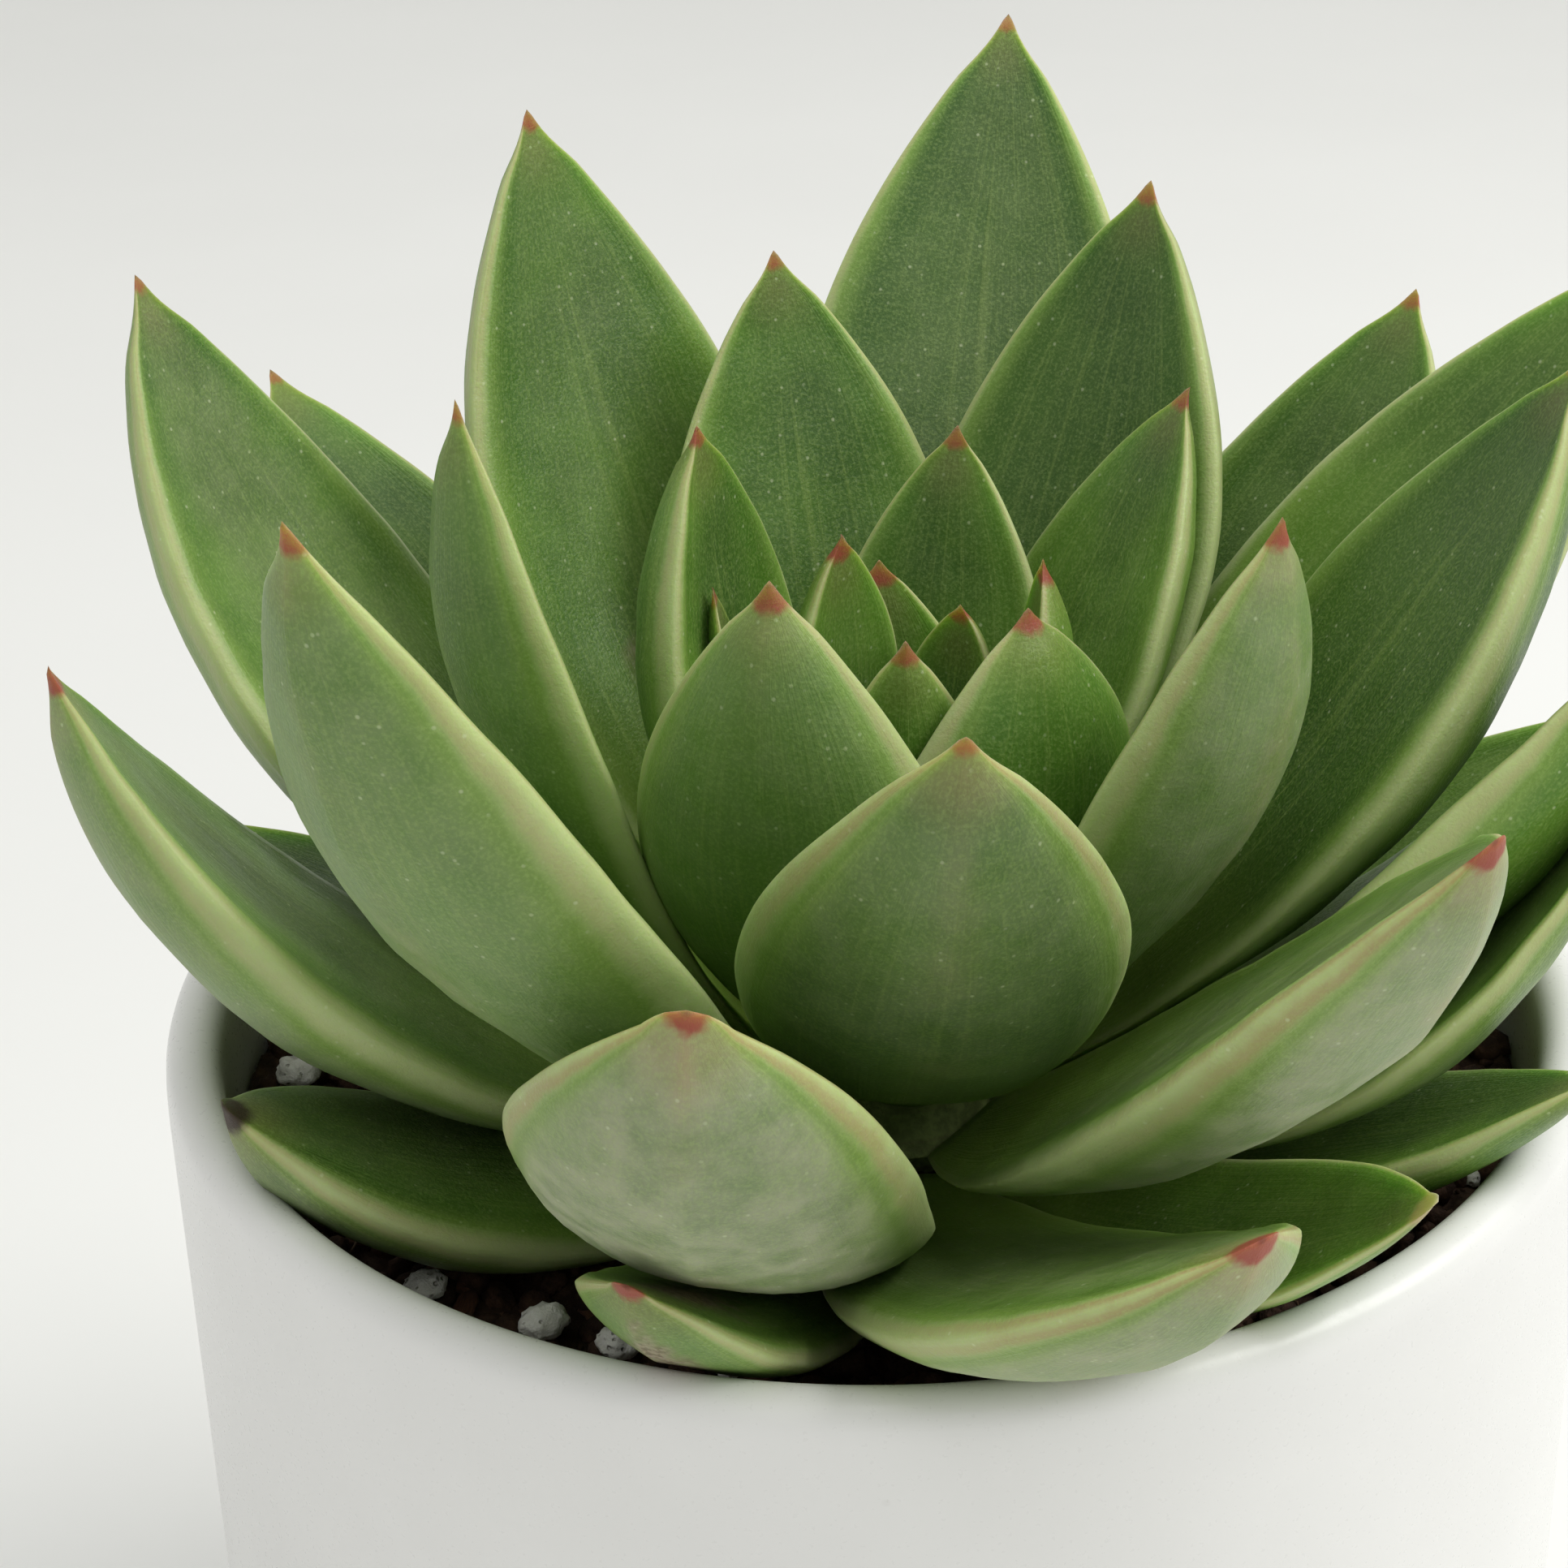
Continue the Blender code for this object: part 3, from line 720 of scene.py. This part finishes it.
def pot_piece():
    profile = np.array(pot_profile())
    dense = []
    for a, b in zip(profile[:-1], profile[1:]):
        pieces = max(1, int(np.linalg.norm(b - a) / POT_STEP))
        dense += [a + (b - a) * k / pieces for k in range(pieces)]
    dense.append(profile[-1])
    dense = np.array(dense)
    for _ in range(2):  # the corners of the coarse profile are eased
        inner = (dense[:-2] + 2 * dense[1:-1] + dense[2:]) / 4
        steps = np.linalg.norm(np.diff(dense, axis=0), axis=1)
        blend = (np.minimum(steps[:-1], steps[1:]) < CORNER_REACH)[:, None]
        dense[1:-1] = np.where(blend, inner, dense[1:-1])
    points = []
    rows = dense[1:-1]
    for r, z in rows:
        for k in range(POT_SEGMENTS):
            a = 2 * math.pi * k / POT_SEGMENTS
            points.append(Vector((r * math.cos(a), r * math.sin(a), z)))
    n = POT_SEGMENTS
    faces = band_faces(len(rows), n)
    for end, row in ((dense[0], 0), (dense[-1], len(rows) - 1)):
        points.append(Vector((0, 0, end[1])))
        for k in range(n):
            pair = (row * n + (k + 1) % n, row * n + k)
            faces.append((*(pair if row == 0 else reversed(pair)), len(points) - 1))
    piece = mesh_object("pot_glazed", points, facing_out(points, faces))
    finish_piece(piece, ["pot"], glaze_material())


# ---- soil ----------------------------------------------------------------------------------------
def soil_surface():
    """Outer radius of the frame's soil, and the distances and heights of its upper points."""
    points, _ = welded(frame["nodes"]["soil"].data)
    radius = np.hypot(points[:, 0], points[:, 1])
    _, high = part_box("soil")
    upper = points[:, 2] > high.z - 6 * MM
    order = np.argsort(radius[upper])
    return radius.max(), radius[upper][order], points[upper][order][:, 2]


def soil_pieces():
    outer, distances, heights = soil_surface()
    low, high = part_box("soil")

    def height(r):
        near = np.abs(distances - r) < 4 * MM
        return float(heights[near].mean()) if near.any() else high.z - 1 * MM

    levels = [height(r * MM) for r in range(0, int(outer / MM) + 1)]

    def ground(x, y):
        r = min(math.hypot(x, y) / MM, len(levels) - 1.001)
        k = int(r)
        z = levels[k] + (levels[k + 1] - levels[k]) * (r - k)
        p = Vector((x, y, 0.0))
        rough = 0.9 * noise.noise(p * 160) + 0.55 * noise.noise(p * 420) + 0.3 * noise.noise(p * 1100)
        return z + rough * MM

    rings_count, segments = SOIL_RINGS, SOIL_SEGMENTS
    points = [Vector((0, 0, ground(0, 0)))]
    for r in range(1, rings_count + 1):
        for k in range(segments):
            a = 2 * math.pi * k / segments
            x, y = outer * r / rings_count * math.cos(a), outer * r / rings_count * math.sin(a)
            points.append(Vector((x, y, ground(x, y))))
    faces = [(0, 1 + k, 1 + (k + 1) % segments) for k in range(segments)]
    faces += band_faces(rings_count, segments, 1, flip=True)
    bottom = len(points)
    rim = 1 + (rings_count - 1) * segments
    for k in range(segments):
        a = 2 * math.pi * k / segments
        points.append(Vector((outer * math.cos(a), outer * math.sin(a), low.z)))
    for k in range(segments):
        j = (k + 1) % segments
        faces.append((rim + k, bottom + k, bottom + j, rim + j))
    faces.append(tuple(bottom + k for k in reversed(range(segments))))
    piece = mesh_object("soil_ground", points, faces)
    finish_piece(piece, ["soil"], soil_material("soil_dark", *SOIL_GROUND))

    rng = random.Random(SEED)

    def spot(reach):
        r = outer * math.sqrt(rng.random()) * reach
        a = rng.random() * 2 * math.pi
        return r * math.cos(a), r * math.sin(a)

    crumbs = Lumps()
    for _ in range(CRUMB_COUNT):
        x, y = spot(0.975)
        size = rng.uniform(0.2, 1.0) ** 3 * 1.3 * MM + 0.16 * MM
        crumbs.add((x, y, ground(x, y) + size * 0.3), size, rng, flat=rng.uniform(0.6, 1.0))
    piece = crumbs.piece("soil_crumbs")
    finish_piece(piece, (), soil_material("soil_crumb", *SOIL_CRUMBS))

    chips = Lumps()
    for _ in range(CHIP_COUNT):
        x, y = spot(0.95)
        chips.add_chip((x, y, ground(x, y) + 0.5 * MM), rng)
    finish_piece(chips.piece("soil_bark"), (), chip_material())

    grains = Lumps()
    for _ in range(SMALL_GRAIN_COUNT):
        x, y = spot(0.96)
        size = rng.uniform(0.3, 0.8) * MM
        grains.add((x, y, ground(x, y) + size * 0.5), size, rng, flat=0.8)
    finish_piece(grains.piece("perlite_crumbs"), (), perlite_material())

    make_roots(rng, spot, ground)


class Lumps:
    """Many small lumps gathered into one mesh."""

    def __init__(self):
        self.points, self.faces, self.along, self.aside, self.tone = [], [], [], [], []

    def add(self, centre, size, rng, flat=1.0, detail=1, rough=1.0):
        spin = self.spin(rng, 0.6, "X")
        stretch = Vector((rng.uniform(0.75, 1.25), rng.uniform(0.75, 1.25), flat))
        shift = Vector((rng.random() * 50, rng.random() * 50, 0))
        first = len(self.points)
        points, faces = SPHERES[detail]
        for p in points:
            q = Vector((p.x * stretch.x, p.y * stretch.y, p.z * stretch.z))
            bulge = 0.42 * noise.noise(p * 1.6 + shift) + 0.20 * noise.noise(p * 4.0 + shift)
            q = q * (1 + rough * bulge)
            self.points.append(Vector(centre) + spin @ q * size)
        self.note(len(points), rng.random())
        self.faces += [tuple(first + i for i in f) for f in faces]

    def add_chip(self, centre, rng):
        length = rng.uniform(1.2, 4.2) * MM
        width = rng.uniform(0.6, 1.6) * MM
        depth = rng.uniform(0.3, 0.7) * MM
        spin = self.spin(rng, 0.35, "Y")
        first = len(self.points)
        tone = rng.random()
        steps, around = CHIP_STEPS, CHIP_AROUND
        for i in range(steps):
            x = i / (steps - 1) - 0.5
            slim = (1 - (2 * abs(x)) ** 4) ** 0.5 * 0.75 + 0.25
            for k in range(around):
                a = 2 * math.pi * k / around
                ragged = 1 + rng.uniform(-0.16, 0.16)
                aside = math.cos(a) * width / 2 * slim * ragged
                up = math.sin(a) * depth / 2 * slim * ragged
                self.points.append(Vector(centre) + spin @ Vector((x * length, aside, up)))
                self.along.append(x * 3)
                self.aside.append(math.cos(a) * 14)
                self.tone.append(tone * 30)
        last = first + (steps - 1) * around
        self.faces += band_faces(steps, around, first, flip=True)
        self.faces.append(tuple(first + k for k in range(around)))
        self.faces.append(tuple(last + k for k in reversed(range(around))))

    def spin(self, rng, tilt, axis):
        turned = Matrix.Rotation(rng.uniform(0, 2 * math.pi), 3, "Z")
        return turned @ Matrix.Rotation(rng.uniform(-tilt, tilt), 3, axis)

    def note(self, count, tone):
        self.along += [0.0] * count
        self.aside += [0.0] * count
        self.tone += [tone] * count

    def piece(self, name):
        made = mesh_object(name, self.points, self.faces)
        store(made.data, "along", self.along)
        store(made.data, "aside", self.aside)
        store(made.data, "tone", self.tone)
        return made


def round_body(rings, segments):
    """Points and faces of a ball of radius 1."""
    points = [Vector((0, 0, -1))]
    for r in range(1, rings):
        lean = math.pi * r / rings
        for k in range(segments):
            a = 2 * math.pi * k / segments
            x, y = math.sin(lean) * math.cos(a), math.sin(lean) * math.sin(a)
            points.append(Vector((x, y, -math.cos(lean))))
    points.append(Vector((0, 0, 1)))
    faces = [(0, 1 + (k + 1) % segments, 1 + k) for k in range(segments)]
    faces += band_faces(rings - 1, segments, 1)
    last = 1 + (rings - 2) * segments
    faces += [(last + k, last + (k + 1) % segments, len(points) - 1) for k in range(segments)]
    return points, faces


SPHERES = {1: round_body(5, 8), 2: round_body(20, 28)}  # for crumbs and for the large grains


def make_roots(rng, spot, ground):
    """Fine dry root hairs lying on the soil, as one set of curves."""
    curve = bpy.data.curves.new("root_hairs", "CURVE")
    curve.dimensions = "3D"
    curve.bevel_depth = 0.09 * MM
    curve.bevel_resolution = 2
    for _ in range(ROOT_COUNT):
        x, y = spot(0.92)
        heading = rng.uniform(0, 2 * math.pi)
        strand = curve.splines.new("POLY")
        count = rng.randint(12, 26)
        strand.points.add(count - 1)
        for i in range(count):
            lift = 0.35 + 0.5 * math.sin(math.pi * i / (count - 1)) * rng.uniform(0.7, 1.2)
            if math.hypot(x, y) > ROOT_LIMIT:
                heading += math.pi * 0.6
            strand.points[i].co = (x, y, ground(x, y) + lift * MM, 1.0)
            strand.points[i].radius = 1.0 - 0.6 * i / count
            heading += rng.uniform(-0.5, 0.5)
            x += math.cos(heading) * ROOT_STEP * MM
            y += math.sin(heading) * ROOT_STEP * MM
    roots = link_object("root_hairs", curve)
    roots.data.materials.append(root_material())
    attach(roots, "root")


def grain_pieces():
    material = perlite_material()
    for number in range(1, 5):
        node = f"perlite_{number}"
        low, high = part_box(node)
        rng = random.Random(SEED + number)
        lump = Lumps()
        lump.add((low + high) / 2, 1.0, rng, detail=2, rough=0.55)
        spread = np.array(lump.points)
        centre = np.array((low + high) / 2)
        size = np.array(high - low)
        spread = (spread - spread.mean(0)) / np.ptp(spread, axis=0) * size * GRAIN_FILL + centre
        lump.points = [Vector(p) for p in spread]
        finish_piece(lump.piece(f"{node}_grain"), [node], material)


def stem_finish():
    stem = frame["nodes"]["stem"]
    stem.data.materials.clear()
    stem.data.materials.append(stem_material())


# ---- camera, light, floor ------------------------------------------------------------------------
def make_camera():
    _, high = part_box("pot")
    yaw, pitch, roll = (math.radians(d) for d in CAMERA_TURN)
    level = math.cos(pitch)
    ahead = Vector((math.sin(yaw) * level, math.cos(yaw) * level, -math.sin(pitch)))
    right = Vector((math.cos(yaw), -math.sin(yaw), 0.0))
    up = right.cross(ahead)
    rolled_right = right * math.cos(roll) + up * math.sin(roll)
    rolled_up = up * math.cos(roll) - right * math.sin(roll)
    data = bpy.data.cameras.new("camera")
    data.sensor_width = 36.0
    data.lens = CAMERA_LENS
    data.clip_start = 0.01
    camera = link_object("camera", data)
    turn = Matrix((rolled_right, rolled_up, -ahead)).transposed().to_4x4()
    place = Vector((0.0, -CAMERA_BACK, high.z + CAMERA_ABOVE_POT))
    camera.matrix_world = Matrix.Translation(place) @ turn
    bpy.context.scene.camera = camera


def area_light(name, place, size, power, colour):
    data = bpy.data.lights.new(name, "AREA")
    data.shape = "DISK"
    data.size = size
    data.energy = power
    data.color = colour
    light = link_object(name, data)
    light.location = place
    aim = Vector(LIGHTS_AIM) - Vector(place)
    light.rotation_euler = aim.to_track_quat("-Z", "Y").to_euler()


def make_stage():
    """A pale floor that curves up into a wall behind the pot."""
    points = []
    steps = 28
    profile = [(-1.6, 0.0), (0.75, 0.0)]
    for k in range(1, steps + 1):
        a = math.pi / 2 * k / steps
        profile.append((0.75 + 0.6 * math.sin(a), 0.6 * (1 - math.cos(a))))
    profile.append((1.35, 2.0))
    for x in (-2.2, 2.2):
        points += [Vector((x, y, z)) for y, z in profile]
    n = len(profile)
    faces = [(k, n + k, n + k + 1, k + 1) for k in range(n - 1)]
    floor = mesh_object("floor", points, faces)
    floor.data.materials.append(floor_material())


def make_light():
    world = bpy.data.worlds.new("studio")
    bpy.context.scene.world = world
    world.use_nodes = True
    background = world.node_tree.nodes["Background"]
    background.inputs["Color"].default_value = WORLD_COLOUR
    background.inputs["Strength"].default_value = WORLD_STRENGTH
    for light in LIGHTS:
        area_light(*light)
    bpy.context.scene.view_settings.view_transform = "Standard"


# ---- everything ----------------------------------------------------------------------------------
def main():
    make_camera()
    make_stage()
    make_light()
    materials = {slot: leaf_material(slot, *greens) for slot, greens in LEAF_GREENS.items()}
    slots = {part["node"]: part["material_slot"] for part in frame["record"]["subparts"]}
    for node in sorted(frame["nodes"]):
        if node.startswith("leaf_"):
            slot = slots.get(node, "leaf_middle")
            leaf_piece(node, materials[slot])
    pot_piece()
    soil_pieces()
    grain_pieces()
    stem_finish()


main()
